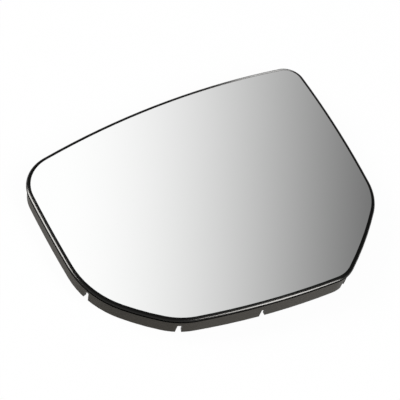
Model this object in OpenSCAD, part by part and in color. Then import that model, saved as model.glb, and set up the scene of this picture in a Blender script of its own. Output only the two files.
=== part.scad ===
// Car door mirror glass: a convex silvered pane, bonded with a foam pad into a moulded carrier.
// The carrier's free edge lies in the plane z = 0, and the glass looks up along +Z.
// The origin is on the axis of the clip ring, which snaps onto the plate of the mirror adjuster.
// Seen from the front, the long edge of the glass is the top one, and X runs along it.

/* [Glass outline] */
// Upper right corner, where the top and right edges would meet, from the clip axis to the right
upper_right_x = 89; // [84:0.1:93]
// Upper right corner, from the clip axis upwards
upper_right_y = 54.2; // [50:0.1:58]
// Rounding of the upper right corner
upper_right_r = 8.1; // [5:0.1:16]
// Upper left corner, from the clip axis to the left
upper_left_x = 78.1; // [73:0.1:83]
// Upper left corner, from the clip axis upwards
upper_left_y = 62.9; // [58:0.1:66]
// Rounding of the upper left corner
upper_left_r = 19.5; // [14:0.1:26]
// Lower left corner, from the clip axis to the left
lower_left_x = 89.4; // [86:0.1:93]
// Lower left corner, from the clip axis downwards
lower_left_y = 10.4; // [8:0.1:13]
// Rounding of the lower left corner
lower_left_r = 43.1; // [34:0.1:48]
// Bottom left corner, from the clip axis to the left
bottom_left_x = 60.2; // [57:0.1:63]
// Bottom left corner, from the clip axis downwards
bottom_left_y = 46.8; // [45:0.1:50]
// Rounding of the bottom left corner
bottom_left_r = 35.3; // [26:0.1:40]
// Bottom right corner, from the clip axis to the right
bottom_right_x = 26; // [22:0.1:31]
// Bottom right corner, from the clip axis downwards
bottom_right_y = 66.2; // [63:0.1:70]
// Rounding of the bottom right corner
bottom_right_r = 16.2; // [10:0.1:24]
// Lower right corner, from the clip axis to the right
lower_right_x = 70.2; // [66:0.1:75]
// Lower right corner, from the clip axis downwards
lower_right_y = 35.7; // [31:0.1:40]
// Rounding of the lower right corner
lower_right_r = 29.3; // [22:0.1:36]
// Radius of the slight bow of the top edge
top_bow_r = 536; // [400:1:900]
// Radius of the slight bow of the left edge
left_bow_r = 676; // [400:1:900]
// Radius of the bow of the slanting edge at the lower left
left_cut_bow_r = 120; // [110:1:160]
// Radius of the bow of the bottom edge
bottom_bow_r = 363; // [280:1:600]
// Radius of the bow of the slanting edge at the lower right
right_cut_bow_r = 216; // [160:1:400]
// Radius of the slight bow of the right edge
right_bow_r = 662; // [400:1:900]

/* [Glass] */
// Radius of the convex face
glass_r = 1300; // [1100:10:2000]
// Thickness of the pane
glass_t = 2; // [1.6:0.1:2.6]
// Gap between the pane's edge and the lip round it
glass_gap = 0.15; // [0.15:0.05:0.5]
// Height of the pane's highest point over the carrier's free edge
glass_top_z = 14.9; // [14.5:0.1:20]
// Highest point of the pane, from the clip axis to the right
glass_top_x = 22.5; // [10:0.1:30]
// Highest point of the pane, from the clip axis upwards
glass_top_y = 6.2; // [-5:0.1:12]

/* [Foam pad] */
// Thickness of the double-sided foam pad
pad_t = 0.8; // [0.5:0.1:1.2]
// Distance from the lip to the pad's edge
pad_margin = 4; // [2:0.5:8]

/* [Carrier rim] */
// Height of the lip over the glass
lip_h = 0.05; // [0:0.05:0.6]
// Width of the lip's flat face
lip_flat = 1.2; // [0.9:0.1:2]
// Slope of the lip's face, down and outwards, in degrees
lip_slope = 18; // [8:1:24]
// Radius of the lip's rounded outer edge
lip_edge_r = 1.1; // [0.9:0.05:1.3]
// Distance from the lip's outermost line in to the skirt
skirt_inset = 1; // [0.8:0.05:1.2]
// Draft of the skirt, in degrees
skirt_draft = 2; // [1:0.5:4]
// Thickness of the skirt
skirt_t = 1.8; // [1.5:0.1:2.4]
// Rounding of the skirt's free edge
skirt_edge_r = 0.35; // [0.2:0.05:0.5]
// Thickness of the floor that carries the pad
floor_t = 1.8; // [1.5:0.1:2.2]

/* [Skirt slots] */
// Width of a slot at its top
slot_w = 2.3; // [1.5:0.1:4]
// Widening of a slot on each side, down to its shoulders
slot_flare = 0.3; // [0.2:0.1:1]
// Rounding of the shoulders where a slot meets the free edge
slot_shoulder_r = 0.5; // [0.3:0.1:1.2]
// Rounding of the two corners at a slot's top
slot_top_r = 0.4; // [0.2:0.1:0.7]
// Depth of a slot, from the free edge
slot_depth = 5.6; // [3:0.1:6]
// Directions of the slots along the lower edges, seen from the clip axis, in degrees
lower_slots = [186, 217.6, 252.3, 293]; // [184:0.1:296]
// Directions of the slots along the top edge
upper_slots = [46, 72, 104, 128]; // [44:0.5:132]

/* [Clip ring] */
// Inner radius of the ring's wall
clip_r = 31; // [27:0.5:34]
// Thickness of the ring's wall
clip_t = 2; // [1.5:0.1:3]
// Height of the ring's free end over the plane of the skirt's free edge
clip_end_z = 2.2; // [1:0.1:4]
// How far the snap hook stands in from the wall
hook_in = 1.2; // [0.6:0.1:1.8]
// Length of the hook's straight land
hook_land = 1.5; // [1:0.1:2]
// Length of the lead-in and of the back slope of the hook
hook_slope = 0.8; // [0.5:0.1:1.2]
// Number of slits that part the ring into spring fingers
clip_slits = 8; // [4:1:10]
// Width of a slit
clip_slit_w = 2; // [1:0.1:3]
// Length of a slit, from the ring's free end
clip_slit_l = 5.5; // [3:0.1:6]

/* [Ribs] */
// Number of radial ribs
rib_n = 12; // [8:1:16]
// Thickness of a rib
rib_t = 1.3; // [1:0.1:2]
// Height of a radial rib's lower edge at the clip ring
rib_in_z = 5; // [4.6:0.1:6]
// Height of a radial rib's lower edge at the skirt
rib_out_z = 5.7; // [4.6:0.1:6.2]
// Middle radius of the ring rib
ring_rib_r = 48; // [42:0.5:52]
// Height of the ring rib's lower edge
ring_rib_z = 5.5; // [4.6:0.1:6.5]
// Radius of the locating cup in the middle
cup_r = 9; // [6:0.5:12]
// Height of the cup's free end
cup_end_z = 5.6; // [4.6:0.1:6.5]

/* [Hidden] */
// Widest step along a corner's rounding, in degrees, and along a bowed edge, in millimetres
corner_step = 5;
edge_step = 9;
// Facets round the lip's rounded edge
lip_steps = 7;
// Step round a slot's small arcs, in degrees
arc_step = 30;
// Rows of facets from the middle of the tray's floor out to its rim
floor_rings = 4;
// How deep a piece is sunk into the one that it is moulded in one with
root = 0.6;
// Excess of a cutting body over what it cuts
over = 1;

corners = [
    [upper_right_x, upper_right_y],
    [-upper_left_x, upper_left_y],
    [-lower_left_x, -lower_left_y],
    [-bottom_left_x, -bottom_left_y],
    [bottom_right_x, -bottom_right_y],
    [lower_right_x, -lower_right_y],
];
roundings = [upper_right_r, upper_left_r, lower_left_r, bottom_left_r, bottom_right_r, lower_right_r];
bows = [top_bow_r, left_bow_r, left_cut_bow_r, bottom_bow_r, right_cut_bow_r, right_bow_r];
sides = len(corners);
glass_top = [glass_top_x, glass_top_y];
floor_top_drop = glass_t + pad_t;
floor_under_drop = floor_top_drop + floor_t;
// Middle of the lip's rounding, from the lip's inner edge outwards and down from its height
lip_mid = [lip_flat - lip_edge_r * sin(lip_slope), -lip_flat * tan(lip_slope) - lip_edge_r * cos(lip_slope)];
lip_out = lip_mid.x + lip_edge_r;
// The rounding runs from the edge of the sloping face down to where it meets the skirt
round_from = 90 - lip_slope;
round_to = -acos(1 - skirt_inset / lip_edge_r);

function next(i) = (i + 1) % sides;
function before(i) = (i + sides - 1) % sides;
function direction(v) = atan2(v.y, v.x);
function heading(a) = [cos(a), sin(a)];
// The angle from a to b, taken counter-clockwise
function turn(a, b) = (b - a + 720) % 360;

// Centre of the arc of radius r that runs counter-clockwise from p to q
function arc_centre(p, q, r) =
    let (half = norm(q - p) / 2, left = [p.y - q.y, q.x - p.x] / (2 * half))
    (p + q) / 2 + left * sqrt(r * r - half * half);

// The point at distances r and s from the centres c and d, on the side of the point near
function meeting(c, r, d, s, near) =
    let (
        gap = norm(d - c),
        along = (r * r - s * s + gap * gap) / (2 * gap),
        aside = sqrt(r * r - along * along),
        u = (d - c) / gap,
        v = [-u.y, u.x],
        p = c + along * u + aside * v,
        q = c + along * u - aside * v
    )
    norm(p - near) < norm(q - near) ? p : q;

bow_centres = [for (i = [0 : sides - 1]) arc_centre(corners[i], corners[next(i)], bows[i])];
corner_centres = [for (i = [0 : sides - 1])
    let (j = before(i), r = roundings[i])
    meeting(bow_centres[j], bows[j] - r, bow_centres[i], bows[i] - r, corners[i])];

// A station of the outline is a centre, a radius and a direction.
// Offsetting the outline only changes the radius, so every offset keeps its tangent arcs.
function arc_stations(centre, r, from, span, steps) =
    [for (k = [0 : steps - 1]) [centre, r, from + span * k / steps]];
function corner_stations(i) =
    let (
        from = direction(corner_centres[i] - bow_centres[before(i)]),
        span = turn(from, direction(corner_centres[i] - bow_centres[i]))
    )
    arc_stations(corner_centres[i], roundings[i], from, span, ceil(span / corner_step));
function edge_stations(i) =
    let (
        from = direction(corner_centres[i] - bow_centres[i]),
        span = turn(from, direction(corner_centres[next(i)] - bow_centres[i]))
    )
    arc_stations(bow_centres[i], bows[i], from, span, ceil(span * PI / 180 * bows[i] / edge_step));
stations = [for (i = [0 : sides - 1]) each concat(corner_stations(i), edge_stations(i))];
count = len(stations);

function station_point(s, grow) = s[0] + (s[1] + grow) * heading(s[2]);
function outline(grow) = [for (s = stations) station_point(s, grow)];
function cross2(a, b) = a.x * b.y - a.y * b.x;

// Where a ray from the clip axis crosses the offset outline: [distance, direction of the normal]
function outline_at(angle, grow) =
    let (
        u = heading(angle),
        pts = outline(grow),
        hits = [for (k = [0 : count - 1])
            let (p = pts[k], q = pts[(k + 1) % count])
            if (cross2(u, p) <= 0 && cross2(u, q) > 0 && u * p > 0)
                let (e = q - p) [cross2(p, e) / cross2(u, e), direction([e.y, -e.x])]]
    )
    hits[0];

// Height over a point of the plane of the convex face, or of a face that lies drop under it.
// All these faces are spheres about one centre.
function glass_z(p, drop = 0) =
    let (r = glass_r - drop, d = norm(p - glass_top))
    glass_top_z - glass_r + sqrt(r * r - d * d);

// Section of the tray at a station, from its middle out over the floor, round the lip, down the
// skirt and back in under the floor. Each entry is [share of the way out, distance out from the
// lip's inner edge, height]: the share is under 1 on the floor only.
function tray_section(s) =
    let (
        face_z = glass_z(station_point(s, 0)),
        lip_z = face_z + lip_h,
        skirt_top_z = lip_z + lip_mid.y + lip_edge_r * sin(round_to),
        skirt_top = lip_out - skirt_inset,
        skirt_end = skirt_top - tan(skirt_draft) * skirt_top_z,
        inner_top = skirt_top - skirt_t,
        under_z = glass_z(station_point(s, inner_top), floor_under_drop)
    )
    concat(
        [for (k = [1 : floor_rings]) floor_row(s, k / floor_rings, 0, floor_top_drop)],
        [[1, 0, lip_z]],
        [for (k = [0 : lip_steps])
            let (
                a = round_from + (round_to - round_from) * k / lip_steps,
                p = lip_mid + lip_edge_r * heading(a)
            )
            [1, p.x, lip_z + p.y]],
        [
            [1, skirt_end, skirt_edge_r],
            [1, skirt_end - skirt_edge_r, 0],
            [1, skirt_end - skirt_t + skirt_edge_r, 0],
            [1, skirt_end - skirt_t, skirt_edge_r],
            [1, inner_top, under_z],
        ],
        [for (k = [floor_rings - 1 : -1 : 1])
            floor_row(s, k / floor_rings, inner_top, floor_under_drop)]
    );
function floor_row(s, share, grow, drop) =
    [share, grow, glass_z(share * station_point(s, grow), drop)];

// Floor, lip and skirt in one: the section is carried round the outline, and rises and falls
// with the glass
module tray() {
    sections = [for (s = stations) tray_section(s)];
    m = len(sections[0]);
    rows = [for (i = [0 : count - 1]) for (q = sections[i])
        let (p = q[0] * station_point(stations[i], q[1])) [p.x, p.y, q[2]]];
    top = count * m;
    middle = [for (drop = [floor_top_drop, floor_under_drop]) [0, 0, glass_z([0, 0], drop)]];
    points = concat(rows, middle);
    faces = [for (i = [0 : count - 1])
        let (a = i * m, b = ((i + 1) % count) * m)
        each concat(
            [[top, b, a], [top + 1, a + m - 1, b + m - 1]],
            [for (j = [0 : m - 2]) each [[a + j, b + j, b + j + 1], [a + j, b + j + 1, a + j + 1]]]
        )];
    polyhedron(points = points, faces = faces);
}

// The ball whose surface lies drop under the convex face
module ball(drop) {
    translate([glass_top_x, glass_top_y, glass_top_z - glass_r]) sphere(r = glass_r - drop, $fn = 256);
}

// A sheet of the outline, grown by grow, between two depths under the convex face
module curved_sheet(grow, top_drop, bottom_drop) {
    intersection() {
        linear_extrude(height = glass_top_z + over) polygon(outline(grow));
        difference() {
            ball(top_drop);
            ball(bottom_drop);
        }
    }
}

// What hangs under the floor: its top follows the floor's curve, sunk into it by the root
module hung_from_floor() {
    intersection() {
        children();
        ball(floor_under_drop - root);
    }
}

// A slot through the skirt, flared down to its rounded shoulders and open at the free edge
module skirt_slot(angle) {
    at = outline_at(angle, 0);
    half = slot_w / 2;
    foot = half + slot_flare + slot_shoulder_r;
    side = concat(
        [[foot, -over]],
        [for (a = [270 : -arc_step : 180]) [foot, slot_shoulder_r] + slot_shoulder_r * heading(a)],
        [for (a = [0 : arc_step : 90])
            [half - slot_top_r, slot_depth - slot_top_r] + slot_top_r * heading(a)]
    );
    other_side = [for (k = [len(side) - 1 : -1 : 0]) [-side[k].x, side[k].y]];
    reach = skirt_t + lip_out + over;
    translate([at[0] * cos(angle), at[0] * sin(angle), 0])
        rotate([0, 0, at[1] + 90]) rotate([90, 0, 0])
            linear_extrude(height = 2 * reach, center = true) polygon(concat(side, other_side));
}

// Spring fingers with a hook at the free end, for the adjuster's plate to snap into
module clip_ring() {
    land_z = clip_end_z + hook_slope;
    land_end_z = land_z + hook_land;
    difference() {
        rotate_extrude($fn = 96) polygon([
            [clip_r, clip_end_z],
            [clip_r + clip_t, clip_end_z],
            [clip_r + clip_t, glass_top_z],
            [clip_r, glass_top_z],
            [clip_r, land_end_z + hook_slope],
            [clip_r - hook_in, land_end_z],
            [clip_r - hook_in, land_z],
        ]);
        for (k = [0 : clip_slits - 1]) rotate([0, 0, 360 / clip_slits * (k + 0.5)])
            translate([clip_r - hook_in - over, -clip_slit_w / 2, clip_end_z - over])
                cube([clip_t + hook_in + 2 * over, clip_slit_w, clip_slit_l + over]);
    }
}

// A radial rib, from the clip ring out into the skirt
module radial_rib(angle) {
    from = clip_r + clip_t - root;
    to = outline_at(angle, lip_out - skirt_inset - skirt_t)[0] + root;
    rotate([0, 0, angle]) rotate([90, 0, 0])
        linear_extrude(height = rib_t, center = true) polygon([
            [from, rib_in_z],
            [to, rib_out_z],
            [to, glass_z(to * heading(angle), floor_under_drop - root)],
            [from, glass_z(from * heading(angle), floor_under_drop - root)],
        ]);
}

// A round wall about the clip axis, from a height up past the floor
module round_wall(inner_r, bottom_z) {
    translate([0, 0, bottom_z]) difference() {
        cylinder(r = inner_r + rib_t, h = glass_top_z - bottom_z, $fn = 96);
        translate([0, 0, -over]) cylinder(r = inner_r, h = glass_top_z - bottom_z + 2 * over, $fn = 96);
    }
}

module carrier() {
    color("#1b1b1a") difference() {
        union() {
            tray();
            hung_from_floor() {
                clip_ring();
                round_wall(ring_rib_r - rib_t / 2, ring_rib_z);
                // The locating cup in the middle centres the adjuster's pivot cap
                round_wall(cup_r, cup_end_z);
            }
            for (k = [0 : rib_n - 1]) radial_rib(360 / rib_n * k);
        }
        for (angle = concat(lower_slots, upper_slots)) skirt_slot(angle);
    }
}

module foam_pad() {
    color("#3a3a3c") curved_sheet(-pad_margin, glass_t, floor_top_drop);
}

module mirror_glass() {
    color("#c9cdd0") curved_sheet(-glass_gap, 0, glass_t);
}

carrier();
foam_pad();
mirror_glass();
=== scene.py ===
"""Looks for the car door mirror glass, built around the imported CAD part. Lengths are in metres."""

import math

import bpy
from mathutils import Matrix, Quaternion, Vector


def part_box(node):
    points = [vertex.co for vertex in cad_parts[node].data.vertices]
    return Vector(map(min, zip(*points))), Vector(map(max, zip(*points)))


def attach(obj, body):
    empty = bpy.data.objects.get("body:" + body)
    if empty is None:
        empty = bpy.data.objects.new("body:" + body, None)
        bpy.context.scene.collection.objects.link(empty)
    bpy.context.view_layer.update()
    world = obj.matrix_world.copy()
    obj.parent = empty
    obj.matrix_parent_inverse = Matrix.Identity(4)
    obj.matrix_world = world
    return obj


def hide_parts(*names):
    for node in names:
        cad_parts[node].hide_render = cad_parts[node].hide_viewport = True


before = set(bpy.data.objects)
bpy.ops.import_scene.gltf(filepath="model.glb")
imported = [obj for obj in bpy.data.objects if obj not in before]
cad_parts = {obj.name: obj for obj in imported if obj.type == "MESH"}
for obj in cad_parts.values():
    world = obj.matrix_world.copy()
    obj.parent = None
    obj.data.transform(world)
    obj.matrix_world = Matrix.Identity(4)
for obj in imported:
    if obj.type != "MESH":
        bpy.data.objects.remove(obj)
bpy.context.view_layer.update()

MM = 0.001

# The pane's convex face is part of a sphere. Its highest point is right of the clip ring's axis.
GLASS_RADIUS = 1300 * MM
GLASS_THICKNESS = 2 * MM
GLASS_TOP = Vector((22.5 * MM, 6.2 * MM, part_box("mirror_glass")[1].z))
SPHERE_CENTRE = GLASS_TOP - Vector((0, 0, GLASS_RADIUS))
PAD_THICKNESS = 0.8 * MM

# The carrier's lip slopes outwards from the glass, and its rounded edge ends this far under it.
# Faces of that edge whose normal rises less than this angle are painted shade: black and without
# reflection, they stand for the shadow under the lip's overhang.
LIP_DEPTH = 2.65 * MM
PAINTED_SHADE_RISE = math.sin(math.radians(38))

# Edges that turn more than these stay sharp, on the carrier and on the pane and its tape
CARRIER_SMOOTH_ANGLE = math.radians(38)
SHEET_SMOOTH_ANGLE = math.radians(12)

# Points of a CAD mesh that lie closer than this are one point
FACET_WELD = 0.001 * MM

# Where the photograph was taken from, in degrees, and how far the studio's lamps hang
CAMERA_AZIMUTH = 220.3
CAMERA_ELEVATION = 50
SOFTBOX_DISTANCE = 1.6


def towards(azimuth, elevation):
    """The unit vector of a direction. Azimuth is counter-clockwise from +X, and both are in degrees."""
    a, e = math.radians(azimuth), math.radians(elevation)
    return Vector((math.cos(a) * math.cos(e), math.sin(a) * math.cos(e), math.sin(e)))


def linear(hex_colour):
    """The linear colour, with an alpha of 1, of an sRGB hex colour such as #b0b0ad."""
    shares = [int(hex_colour[k : k + 2], 16) / 255 for k in (1, 3, 5)]
    return tuple(s / 12.92 if s <= 0.04045 else ((s + 0.055) / 1.055) ** 2.4 for s in shares) + (1.0,)


def add(tree, kind, settings=None, inputs=None):
    """Adds a node, sets its properties, and sets its inputs, or links those given as a socket. An
    input is named, or counted from 0 where its name repeats."""
    made = tree.nodes.new(kind)
    for name, value in (settings or {}).items():
        setattr(made, name, value)
    for name, value in (inputs or {}).items():
        if isinstance(value, bpy.types.NodeSocket):
            tree.links.new(value, made.inputs[name])
        else:
            made.inputs[name].default_value = value
    return made


def new_material(name):
    """An empty node material and its tree."""
    material = bpy.data.materials.new(name)
    material.use_nodes = True
    material.node_tree.nodes.clear()
    return material, material.node_tree


def finish_material(tree, surface):
    """Links a shader to the material's output."""
    add(tree, "ShaderNodeOutputMaterial", inputs={"Surface": surface})


def object_millimetres(tree):
    """Object coordinates in millimetres, so that a pattern's scale is one over its real size."""
    place = add(tree, "ShaderNodeTexCoord")
    scaled = add(tree, "ShaderNodeMapping", inputs={
        "Vector": place.outputs["Object"], "Scale": (1 / MM,) * 3})
    return scaled.outputs["Vector"]


def silvered_glass():
    """Float glass, bent and silvered on its back: a clean neutral mirror with a hint of haze."""
    haze_size, haze_low, haze_high = 45, 0.012, 0.02
    material, tree = new_material("silvered_glass")
    haze = add(tree, "ShaderNodeTexNoise", inputs={
        "Vector": object_millimetres(tree), "Scale": 1 / haze_size, "Detail": 2.0})
    roughness = add(tree, "ShaderNodeMapRange", inputs={
        "Value": haze.outputs["Fac"], "To Min": haze_low, "To Max": haze_high})
    tint = add(tree, "ShaderNodeMix", {"data_type": "RGBA"}, {
        "Factor": haze.outputs["Fac"], "A": linear("#fbfcfb"), "B": linear("#fdfdfd")})
    shader = add(tree, "ShaderNodeBsdfPrincipled", inputs={
        "Base Color": tint.outputs["Result"], "Metallic": 1.0, "Roughness": roughness.outputs["Result"]})
    finish_material(tree, shader.outputs["BSDF"])
    return material


def ground_glass_edge():
    """The pane's edge, ground with a fine wheel: grey green and matt. The grit's marks are drawn
    coarser than they are, so that they show."""
    grit_size, grit_depth = 0.25, 0.02
    material, tree = new_material("ground_glass_edge")
    grit = add(tree, "ShaderNodeTexNoise", inputs={
        "Vector": object_millimetres(tree), "Scale": 1 / grit_size})
    tint = add(tree, "ShaderNodeMix", {"data_type": "RGBA"}, {
        "Factor": grit.outputs["Fac"], "A": linear("#5d6b64"), "B": linear("#7b8a82")})
    bump = add(tree, "ShaderNodeBump", inputs={
        "Height": grit.outputs["Fac"], "Strength": 0.5, "Distance": grit_depth * MM})
    shader = add(tree, "ShaderNodeBsdfPrincipled", inputs={
        "Base Color": tint.outputs["Result"], "Roughness": 0.5, "IOR": 1.52,
        "Normal": bump.outputs["Normal"]})
    finish_material(tree, shader.outputs["BSDF"])
    return material


def moulded_plastic(name, dark, light, roughness, specular, gloss_tint, grain_size, grain_depth):
    """Black polypropylene out of a steel mould: a faint change of tone, and the mould's fine grain,
    which is drawn a little coarser than it is, so that it shows."""
    tone_size, sheen_spread = 18, 0.15
    material, tree = new_material(name)
    place = object_millimetres(tree)
    tone = add(tree, "ShaderNodeTexNoise", inputs={
        "Vector": place, "Scale": 1 / tone_size, "Detail": 3.0})
    tint = add(tree, "ShaderNodeMix", {"data_type": "RGBA"}, {
        "Factor": tone.outputs["Fac"], "A": linear(dark), "B": linear(light)})
    grain = add(tree, "ShaderNodeTexNoise", inputs={
        "Vector": place, "Scale": 1 / grain_size, "Detail": 1.0})
    sheen = add(tree, "ShaderNodeMapRange", inputs={
        "Value": grain.outputs["Fac"], "To Min": roughness * (1 - sheen_spread),
        "To Max": roughness * (1 + sheen_spread)})
    bump = add(tree, "ShaderNodeBump", inputs={
        "Height": grain.outputs["Fac"], "Strength": 0.6, "Distance": grain_depth * MM})
    shader = add(tree, "ShaderNodeBsdfPrincipled", inputs={
        "Base Color": tint.outputs["Result"], "Roughness": sheen.outputs["Result"], "IOR": 1.49,
        "Specular IOR Level": specular, "Specular Tint": linear(gloss_tint),
        "Normal": bump.outputs["Normal"]})
    finish_material(tree, shader.outputs["BSDF"])
    return material


def foam_tape():
    """Closed-cell polyethylene foam tape: dark grey and matt, with fine open pores on its cut edge."""
    pore_size, pore_depth = 0.6, 0.08
    material, tree = new_material("foam_tape")
    pores = add(tree, "ShaderNodeTexVoronoi", inputs={
        "Vector": object_millimetres(tree), "Scale": 1 / pore_size})
    tint = add(tree, "ShaderNodeMix", {"data_type": "RGBA"}, {
        "Factor": pores.outputs["Distance"], "A": linear("#2c2c2e"), "B": linear("#444446")})
    bump = add(tree, "ShaderNodeBump", inputs={
        "Height": pores.outputs["Distance"], "Strength": 0.7, "Distance": pore_depth * MM})
    shader = add(tree, "ShaderNodeBsdfPrincipled", inputs={
        "Base Color": tint.outputs["Result"], "Roughness": 0.9, "Normal": bump.outputs["Normal"]})
    finish_material(tree, shader.outputs["BSDF"])
    return material


def make_active(piece):
    """Makes a piece the only one selected, so that operators act on it alone."""
    bpy.ops.object.select_all(action="DESELECT")
    piece.select_set(True)
    bpy.context.view_layer.objects.active = piece


def apply_modifier(piece, kind, **settings):
    """Gives the active piece a modifier and applies it."""
    modifier = piece.modifiers.new(kind.lower(), kind)
    for name, value in settings.items():
        setattr(modifier, name, value)
    bpy.ops.object.modifier_apply(modifier=modifier.name)


def select_faces(piece, wanted):
    """Selects the faces that wanted says, in edit mode, and nothing else."""
    bpy.ops.mesh.select_mode(type="FACE")
    bpy.ops.mesh.select_all(action="DESELECT")
    bpy.ops.object.mode_set(mode="OBJECT")
    for face in piece.data.polygons:
        face.select = wanted(face)
    bpy.ops.object.mode_set(mode="EDIT")


def outline_of(name, node):
    """The upper edge of a CAD sheet's outline, as one closed loop in a new piece. Faces that look
    well up are the sheet's upper side, and the rest goes."""
    looks_up = 0.5
    piece = bpy.data.objects.new(name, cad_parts[node].data.copy())
    piece.data.materials.clear()
    bpy.context.scene.collection.objects.link(piece)
    make_active(piece)
    bpy.ops.object.mode_set(mode="EDIT")
    bpy.ops.mesh.select_all(action="SELECT")
    bpy.ops.mesh.remove_doubles(threshold=FACET_WELD)
    bpy.ops.mesh.customdata_custom_splitnormals_clear()
    select_faces(piece, lambda face: face.normal.z < looks_up)
    bpy.ops.mesh.delete(type="FACE")
    bpy.ops.mesh.select_all(action="SELECT")
    bpy.ops.mesh.region_to_loop()
    bpy.ops.mesh.select_all(action="INVERT")
    bpy.ops.mesh.delete(type="EDGE_FACE")
    bpy.ops.mesh.select_all(action="SELECT")
    bpy.ops.mesh.delete_loose(use_verts=True, use_edges=False, use_faces=False)
    return piece


def curved_sheet(name, node, radius, thickness, rings, edge_bevel):
    """A CAD sheet made anew, smooth: rings drawn in from its outline, cast onto the sphere of its
    upper face, and given its thickness and softened edges."""
    piece = outline_of(name, node)
    middle = (GLASS_TOP.x, GLASS_TOP.y, 0)
    bpy.ops.mesh.select_mode(type="EDGE")
    bpy.ops.mesh.select_all(action="SELECT")
    for ring in range(rings, 1, -1):
        share = (ring - 1) / ring
        bpy.ops.mesh.extrude_edges_move()
        bpy.ops.transform.resize(value=(share, share, 1), center_override=middle)
    bpy.ops.mesh.extrude_edges_move()
    bpy.ops.mesh.merge(type="CENTER")
    bpy.ops.mesh.select_all(action="SELECT")
    bpy.ops.mesh.remove_doubles(threshold=FACET_WELD)
    bpy.ops.mesh.normals_make_consistent(inside=False)
    bpy.ops.object.mode_set(mode="OBJECT")
    bpy.context.scene.cursor.location = SPHERE_CENTRE
    bpy.ops.object.origin_set(type="ORIGIN_CURSOR")
    apply_modifier(piece, "CAST", factor=1.0, use_radius_as_size=False, size=radius)
    bpy.ops.object.transform_apply(location=True, rotation=False, scale=False)
    if piece.data.polygons[0].normal.z < 0:
        piece.data.flip_normals()
    apply_modifier(piece, "SOLIDIFY", thickness=thickness, offset=-1.0)
    apply_modifier(piece, "BEVEL", width=edge_bevel, segments=2, limit_method="ANGLE")
    bpy.ops.object.shade_smooth_by_angle(angle=SHEET_SMOOTH_ANGLE)
    return piece


def mirror_pane():
    """The silvered pane: its two faces, which lie nearly level, are the mirror, and its rim is
    ground glass."""
    nearly_level = 0.99
    piece = curved_sheet("mirror_pane", "mirror_glass", GLASS_RADIUS, GLASS_THICKNESS,
                         rings=40, edge_bevel=0.2 * MM)
    piece.data.materials.append(silvered_glass())
    piece.data.materials.append(ground_glass_edge())
    silvered, ground = range(2)
    for face in piece.data.polygons:
        face.material_index = silvered if abs(face.normal.z) > nearly_level else ground
    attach(piece, "root")
    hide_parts("mirror_glass")


def foam_sheet():
    """The foam tape that bonds the pane to the carrier's floor."""
    piece = curved_sheet("foam_sheet", "foam_pad", GLASS_RADIUS - GLASS_THICKNESS, PAD_THICKNESS,
                         rings=20, edge_bevel=0.15 * MM)
    piece.data.materials.append(foam_tape())
    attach(piece, "root")
    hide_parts("foam_pad")


def dress_carrier():
    """The moulded carrier keeps its CAD form. Its lip is polished in the mould, the band under the
    lip's edge is painted shade, black and without reflection, for the shadow under the lip's
    overhang, and the rest is satin."""
    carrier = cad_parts["carrier"]
    carrier.data.materials.clear()
    carrier.data.materials.append(moulded_plastic(
        "polypropylene_satin", "#24211b", "#2d2a24", roughness=0.5, specular=0.26,
        gloss_tint="#fff4e4", grain_size=0.5, grain_depth=0.02))
    carrier.data.materials.append(moulded_plastic(
        "polypropylene_polished", "#030303", "#050505", roughness=0.17, specular=0.9,
        gloss_tint="#fffdf8", grain_size=0.8, grain_depth=0.002))
    # Painted shade: a black band without reflection, for the shadow under the lip's overhang
    carrier.data.materials.append(moulded_plastic(
        "polypropylene_painted_shade", "#030303", "#050505", roughness=0.6, specular=0.0,
        gloss_tint="#ffffff", grain_size=0.4, grain_depth=0.01))
    satin, polished, painted_lip_shade = range(3)
    for face in carrier.data.polygons:
        height = (face.center - SPHERE_CENTRE).length - GLASS_RADIUS
        outward = face.normal.x * face.center.x + face.normal.y * face.center.y
        on_lip = height > -LIP_DEPTH and outward > 0
        # Faces under the lip's edge get the painted shade that stands for the shadow under the overhang
        in_painted_shade_band = face.normal.z < PAINTED_SHADE_RISE
        face.material_index = satin if not on_lip else painted_lip_shade if in_painted_shade_band else polished
    carrier.data.shade_smooth()
    weld = carrier.modifiers.new("weld", "WELD")
    weld.merge_threshold = FACET_WELD
    split = carrier.modifiers.new("sharp_edges", "EDGE_SPLIT")
    split.split_angle = CARRIER_SMOOTH_ANGLE


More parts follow.
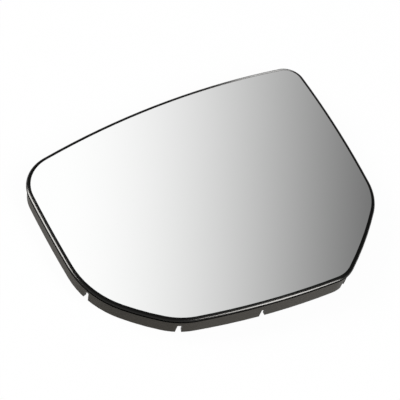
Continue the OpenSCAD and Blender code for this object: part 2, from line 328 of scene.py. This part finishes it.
def white_floor():
    """A plain pale floor. The camera and reflections see it almost white, with a share of its own
    lit surface, which keeps the object's shadow. It isn't drawn from below, nor for a ray that has
    already come through it."""
    white_share = 0.96
    size = 6.0
    below = 0.05 * MM
    come_through = 0.5
    bpy.ops.object.select_all(action="DESELECT")
    bpy.ops.mesh.primitive_plane_add(size=size, location=(0, 0, -below))
    floor = bpy.context.object
    floor.name = "floor"
    material, tree = new_material("floor_white")
    path = add(tree, "ShaderNodeLightPath")
    mirrored = add(tree, "ShaderNodeMath", {"operation": "MAXIMUM"}, {
        0: path.outputs["Is Glossy Ray"], 1: path.outputs["Is Transmission Ray"]})
    seen = add(tree, "ShaderNodeMath", {"operation": "MAXIMUM"}, {
        0: path.outputs["Is Camera Ray"], 1: mirrored.outputs["Value"]})
    share = add(tree, "ShaderNodeMath", {"operation": "MULTIPLY"}, {
        0: seen.outputs["Value"], 1: white_share})
    lit = add(tree, "ShaderNodeBsdfDiffuse", inputs={"Color": linear("#f2f2f2")})
    white = add(tree, "ShaderNodeEmission", inputs={"Color": linear("#ffffff"), "Strength": 1.0})
    top = add(tree, "ShaderNodeMixShader", inputs={
        0: share.outputs["Value"], 1: lit.outputs["BSDF"], 2: white.outputs["Emission"]})
    side = add(tree, "ShaderNodeNewGeometry")
    passed = add(tree, "ShaderNodeMath", {"operation": "GREATER_THAN"}, {
        0: path.outputs["Transparent Depth"], 1: come_through})
    from_below = add(tree, "ShaderNodeMath", {"operation": "MAXIMUM"}, {
        0: side.outputs["Backfacing"], 1: passed.outputs["Value"]})
    clear = add(tree, "ShaderNodeBsdfTransparent")
    surface = add(tree, "ShaderNodeMixShader", inputs={
        0: from_below.outputs["Value"], 1: top.outputs["Shader"], 2: clear.outputs["BSDF"]})
    finish_material(tree, surface.outputs["Shader"])
    floor.data.materials.append(material)


def studio_dome():
    """A grey studio with one broad white panel over the back, which falls off to a dark side and
    is framed by a dark grey cloth. The pane shows the camera the panel as a soft gradient, and the
    polished lip shows it the cloth. Below the horizon it is nearly white, and to the camera white."""
    panel_heading = towards(CAMERA_AZIMUTH - 180, CAMERA_ELEVATION)
    dark_side = towards(322.4, -4.1)
    light_level, dark_level = 1.015, 0.083
    cloth_level, room_level, below_level, camera_level = 0.06, 0.25, 0.9, 1.0
    horizon = -0.02
    # Angles from the panel's middle where the panel, the cloth and the room give way to each other,
    # and angles from the dark side between which the panel darkens
    panel_from, panel_to, cloth_to, room_from = (math.cos(math.radians(v)) for v in (26, 17, 40, 70))
    fall_from, fall_to = (math.cos(math.radians(v)) for v in (97.6, 69.3))
    world = bpy.data.worlds.new("studio_dome")
    world.use_nodes = True
    tree = world.node_tree
    tree.nodes.clear()
    heading = add(tree, "ShaderNodeTexCoord").outputs["Generated"]
    towards_dark = add(tree, "ShaderNodeVectorMath", {"operation": "DOT_PRODUCT"}, {
        0: heading, 1: dark_side})
    panel = add(tree, "ShaderNodeMapRange", {"interpolation_type": "SMOOTHSTEP"}, {
        "Value": towards_dark.outputs["Value"], "From Min": fall_from, "From Max": fall_to,
        "To Min": light_level, "To Max": dark_level})
    towards_panel = add(tree, "ShaderNodeVectorMath", {"operation": "DOT_PRODUCT"}, {
        0: heading, 1: panel_heading})
    on_panel = add(tree, "ShaderNodeMapRange", {"interpolation_type": "SMOOTHSTEP"}, {
        "Value": towards_panel.outputs["Value"], "From Min": panel_from, "From Max": panel_to})
    room = add(tree, "ShaderNodeMapRange", {"interpolation_type": "SMOOTHSTEP"}, {
        "Value": towards_panel.outputs["Value"], "From Min": room_from, "From Max": cloth_to,
        "To Min": room_level, "To Max": cloth_level})
    above = add(tree, "ShaderNodeMix", {"data_type": "FLOAT"}, {
        "Factor": on_panel.outputs["Result"], "A": room.outputs["Result"], "B": panel.outputs["Result"]})
    height = add(tree, "ShaderNodeSeparateXYZ", inputs={"Vector": heading})
    is_below = add(tree, "ShaderNodeMath", {"operation": "LESS_THAN"}, {
        0: height.outputs["Z"], 1: horizon})
    level = add(tree, "ShaderNodeMix", {"data_type": "FLOAT"}, {
        "Factor": is_below.outputs["Value"], "A": above.outputs["Result"], "B": below_level})
    path = add(tree, "ShaderNodeLightPath")
    shown = add(tree, "ShaderNodeMix", {"data_type": "FLOAT"}, {
        "Factor": path.outputs["Is Camera Ray"], "A": level.outputs["Result"], "B": camera_level})
    background = add(tree, "ShaderNodeBackground", inputs={
        "Color": linear("#ffffff"), "Strength": shown.outputs["Result"]})
    add(tree, "ShaderNodeOutputWorld", inputs={"Surface": background.outputs["Background"]})
    bpy.context.scene.world = world


def softbox(name, azimuth, elevation, width, height, power):
    """A soft rectangular lamp that faces the object, and that the camera doesn't see."""
    back = towards(azimuth, elevation)
    bpy.ops.object.light_add(type="AREA", location=back * SOFTBOX_DISTANCE)
    lamp = bpy.context.object
    lamp.name = name
    lamp.rotation_mode = "QUATERNION"
    lamp.rotation_quaternion = back.to_track_quat("Z", "Y")
    lamp.data.shape = "RECTANGLE"
    lamp.data.size = width
    lamp.data.size_y = height
    lamp.data.energy = power
    lamp.visible_camera = False


def photo_camera():
    """The camera of the photograph: from the lower left, well above the glass. The picture's width
    is measured at the target."""
    target = Vector((-10.97, 5.45, 12.77)) * MM
    roll = math.radians(16.7)
    distance = 800 * MM
    picture_width = 197.65 * MM
    back = towards(CAMERA_AZIMUTH, CAMERA_ELEVATION)
    camera = bpy.data.objects.new("camera", bpy.data.cameras.new("camera"))
    bpy.context.scene.collection.objects.link(camera)
    camera.data.sensor_width = 36
    camera.data.lens = camera.data.sensor_width * distance / picture_width
    camera.location = target + back * distance
    camera.rotation_mode = "QUATERNION"
    camera.rotation_quaternion = back.to_track_quat("Z", "Y") @ Quaternion((0, 0, 1), roll)
    bpy.context.scene.camera = camera


photo_camera()
mirror_pane()
foam_sheet()
dress_carrier()
white_floor()
studio_dome()

# The first two draw the bright strips on the lip's rounded edge, and the third the grey line round
# the upper right corner
softbox("softbox_left", azimuth=131, elevation=29, width=0.75, height=1.0, power=23)
softbox("softbox_front", azimuth=291, elevation=41, width=0.5, height=1.15, power=19)
softbox("softbox_back", azimuth=44.5, elevation=12.5, width=0.44, height=0.42, power=2.4)
bpy.context.scene.view_settings.view_transform = "Standard"
